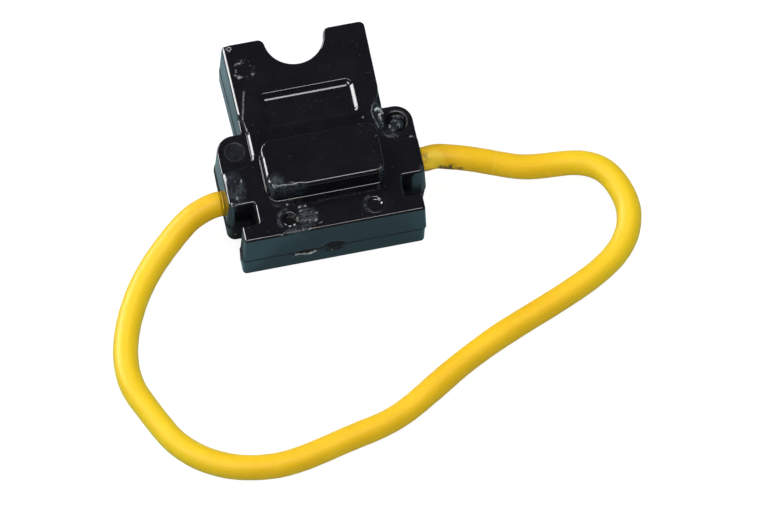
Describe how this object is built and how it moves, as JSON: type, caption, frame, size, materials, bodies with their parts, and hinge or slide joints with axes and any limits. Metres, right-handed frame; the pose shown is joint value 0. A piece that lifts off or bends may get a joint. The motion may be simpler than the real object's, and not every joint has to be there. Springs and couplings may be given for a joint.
{
  "type": "inline blade fuse holder",
  "caption": "Inline holder for a blade fuse: a black two-shell moulded housing with an open chute and finger notch, on a yellow wire loop.",
  "frame": {"origin": "middle of the housing on the surface that its back lies on, without the free wire", "axes": "+Z out of the housing's front, +Y towards the open mouth that takes the fuse, +X across it to the right"},
  "size_m": [0.0924, 0.0742, 0.017],
  "materials": {
    "shell_plastic": "glossy black moulded plastic",
    "terminal_brass": "tinned brass sheet",
    "strand_copper": "bare copper strands",
    "wire_cover": "yellow soft vinyl cover with a light sheen"
  },
  "bodies": {
    "root": {"front_shell": "shell_plastic", "back_shell": "shell_plastic", "left_terminal": "terminal_brass", "right_terminal": "terminal_brass", "left_strands": "strand_copper", "right_strands": "strand_copper", "left_wire_tail": "wire_cover", "right_wire_tail": "wire_cover", "lead_wire": "wire_cover"}
  },
  "joints": []
}
